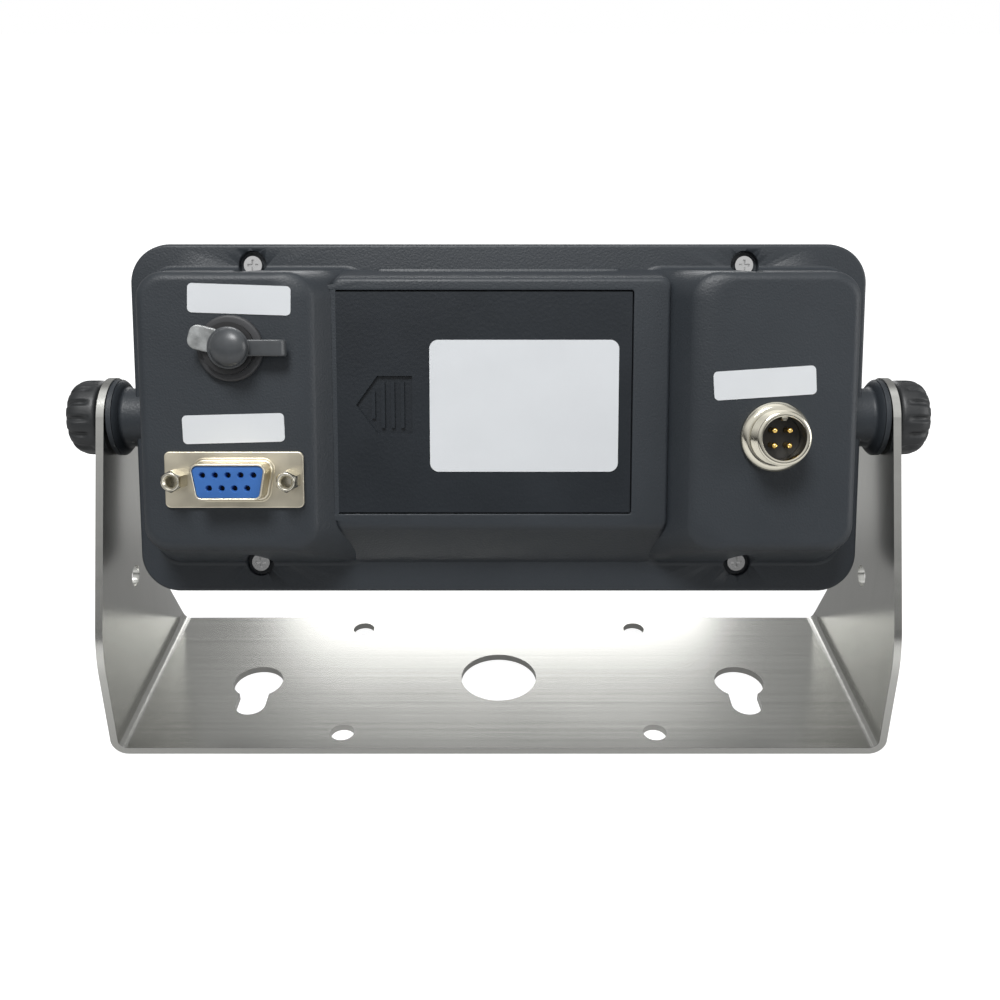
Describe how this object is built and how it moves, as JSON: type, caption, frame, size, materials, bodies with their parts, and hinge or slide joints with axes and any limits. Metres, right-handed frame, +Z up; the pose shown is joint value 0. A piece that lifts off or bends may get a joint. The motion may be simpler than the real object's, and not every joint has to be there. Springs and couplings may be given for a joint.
{
  "type": "weighing indicator",
  "caption": "Weighing indicator in a U bracket, display and keys on the front, connectors and a sliding battery door on the rear, held by two clamp knobs.",
  "frame": {"origin": "centre of the middle hole at the underside of the bracket's base", "axes": "+X across the case toward the serial port, +Y toward the case's rear face, +Z up"},
  "size_m": [0.204, 0.0644, 0.1174],
  "materials": {
    "stainless": "brushed along its length",
    "case_plastic": "fine moulded texture",
    "black_rubber": "matt",
    "cap_rubber": "satin",
    "grey_rubber": "matt",
    "steel": "plated",
    "brass": "turned",
    "knob_plastic": "satin",
    "cell_jacket": "printed sleeve, plain",
    "lead_red": "wire sleeve",
    "lead_green": "wire sleeve",
    "label_white": "coated label",
    "tinned_steel": "tinned",
    "blue_plastic": "moulded",
    "gold_contact": "plated",
    "ribbon_grey": "ribbon cable",
    "nickel": "nickel plated",
    "black_plastic": "moulded",
    "window_glass": "tinted window",
    "overlay_film": "printed film",
    "key_plastic": "moulded",
    "digit_red": "lit segments",
    "board_green": "solder mask",
    "ivory_plastic": "moulded"
  },
  "bodies": {
    "bracket": {"bracket": "stainless"},
    "case": {"rear_shell": "case_plastic", "front_shell": "case_plastic", "case_gasket": "black_rubber", "case_screws": "steel", "hinge_inserts": "brass", "hinge_friction_washers": "black_rubber", "battery_cells": "cell_jacket", "battery_springs": "steel", "battery_contacts": "steel", "battery_leads": "lead_red", "power_label": "label_white", "serial_label": "label_white", "sensor_label": "label_white", "serial_flange": "tinned_steel", "serial_insulator": "blue_plastic", "serial_sockets": "gold_contact", "serial_jack_screws": "steel", "serial_nuts": "steel", "serial_ribbon": "ribbon_grey", "sensor_shell": "nickel", "sensor_insulator": "black_plastic", "sensor_pins": "gold_contact", "sensor_nut": "nickel", "sensor_leads": "lead_green", "power_jack": "black_plastic", "power_jack_pin": "nickel", "power_jack_nut": "black_plastic", "power_leads": "lead_red", "jack_cap_ring": "black_rubber", "display_window": "window_glass", "front_overlay": "overlay_film", "key_mat": "grey_rubber", "display_module": "black_plastic", "display_digits": "digit_red", "main_board": "board_green", "board_screws": "steel", "board_chips": "black_plastic", "board_headers": "ivory_plastic", "buzzer": "black_plastic"},
    "clamp_left": {"clamp_washer_left": "steel"},
    "clamp_right": {"clamp_washer_right": "steel"},
    "knob_left": {"knob_left": "knob_plastic", "knob_stud_left": "steel"},
    "knob_right": {"knob_right": "knob_plastic", "knob_stud_right": "steel"},
    "battery_door": {"battery_door": "case_plastic", "rating_label": "label_white"},
    "jack_cap": {"jack_cap": "cap_rubber"},
    "key_1": {"key_1": "key_plastic"},
    "key_2": {"key_2": "key_plastic"},
    "key_3": {"key_3": "key_plastic"},
    "key_4": {"key_4": "key_plastic"},
    "key_5": {"key_5": "key_plastic"},
    "key_6": {"key_6": "key_plastic"}
  },
  "joints": [
    {"name": "case_tilt", "type": "hinge", "parent": "bracket", "child": "case", "pos_m": [0, -0.0015, 0.078], "axis": [1, 0, 0], "range_deg": [-110.7, 69.3]},
    {"name": "knob_left_travel", "type": "slide", "parent": "case", "child": "clamp_left", "axis": [1, 0, 0], "range_m": [0, 0.0016]},
    {"name": "knob_left_turn", "type": "hinge", "parent": "clamp_left", "child": "knob_left", "pos_m": [0.098, -0.0015, 0.078], "axis": [1, 0, 0], "range_deg": [0, 721]},
    {"name": "knob_right_travel", "type": "slide", "parent": "case", "child": "clamp_right", "axis": [-1, 0, 0], "range_m": [0, 0.0016]},
    {"name": "knob_right_turn", "type": "hinge", "parent": "clamp_right", "child": "knob_right", "pos_m": [-0.098, -0.0015, 0.078], "axis": [-1, 0, 0], "range_deg": [0, 721]},
    {"name": "battery_door_slide", "type": "slide", "parent": "case", "child": "battery_door", "axis": [1, 0, 0], "range_m": [0, 0.005]},
    {"name": "jack_cap_open", "type": "hinge", "parent": "case", "child": "jack_cap", "pos_m": [0.0477, 0.01475, 0.10092], "axis": [0, -0.3535, 0.9354], "range_deg": [0, 150]},
    {"name": "key_1_press", "type": "slide", "parent": "case", "child": "key_1", "axis": [0, 0.9354, 0.3535], "range_m": [0, 0.0009], "stiffness_N_per_m": 400, "springref_m": -0.0004},
    {"name": "key_2_press", "type": "slide", "parent": "case", "child": "key_2", "axis": [0, 0.9354, 0.3535], "range_m": [0, 0.0009], "stiffness_N_per_m": 400, "springref_m": -0.0004},
    {"name": "key_3_press", "type": "slide", "parent": "case", "child": "key_3", "axis": [0, 0.9354, 0.3535], "range_m": [0, 0.0009], "stiffness_N_per_m": 400, "springref_m": -0.0004},
    {"name": "key_4_press", "type": "slide", "parent": "case", "child": "key_4", "axis": [0, 0.9354, 0.3535], "range_m": [0, 0.0009], "stiffness_N_per_m": 400, "springref_m": -0.0004},
    {"name": "key_5_press", "type": "slide", "parent": "case", "child": "key_5", "axis": [0, 0.9354, 0.3535], "range_m": [0, 0.0009], "stiffness_N_per_m": 400, "springref_m": -0.0004},
    {"name": "key_6_press", "type": "slide", "parent": "case", "child": "key_6", "axis": [0, 0.9354, 0.3535], "range_m": [0, 0.0009], "stiffness_N_per_m": 400, "springref_m": -0.0004}
  ],
  "couplings": [
    {"joint": "knob_left_turn", "follows": "knob_left_travel", "rad_per_m": 7854},
    {"joint": "knob_right_turn", "follows": "knob_right_travel", "rad_per_m": 7854}
  ]
}
